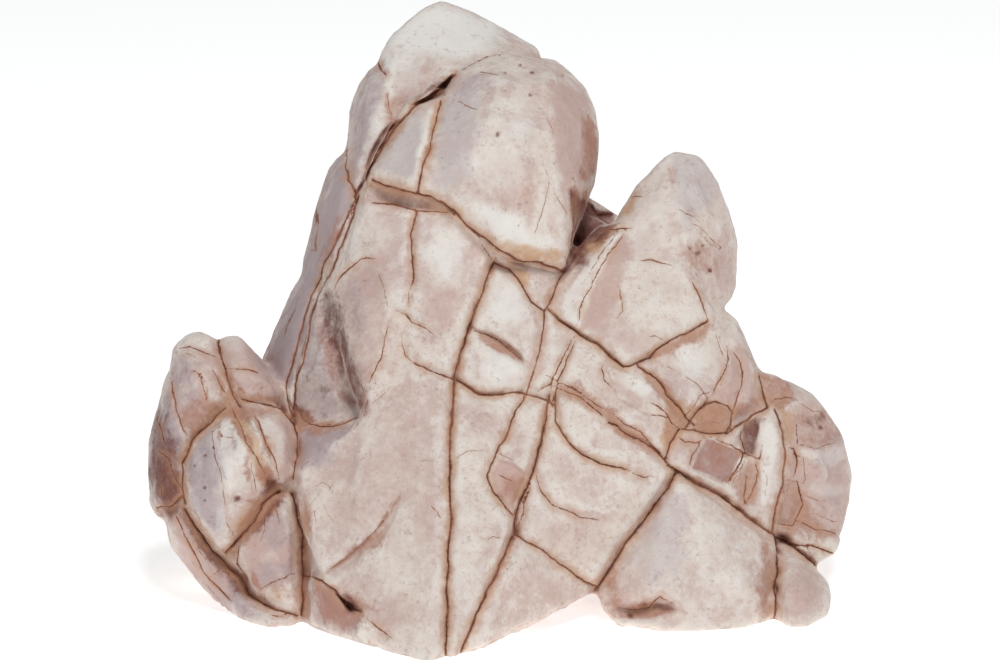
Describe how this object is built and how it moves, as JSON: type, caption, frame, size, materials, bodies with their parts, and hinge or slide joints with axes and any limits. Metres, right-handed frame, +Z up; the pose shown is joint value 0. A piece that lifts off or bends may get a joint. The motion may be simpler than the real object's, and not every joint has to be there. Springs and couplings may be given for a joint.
{
  "type": "sandstone",
  "caption": "Weathered, deeply jointed sandstone with a domed main mass, a side peak, rounded flank lobes and a flat foot to stand on.",
  "frame": {"origin": "middle of the bounding box, on the ground under the flat foot", "axes": "+X to the right as the front is seen, +Y to the back, +Z up"},
  "size_m": [0.2868, 0.2062, 0.2263],
  "materials": {
    "sandstone": "dry, matt, fine-grained weathered stone"
  },
  "bodies": {
    "root": {"sandstone": "sandstone"}
  },
  "joints": []
}
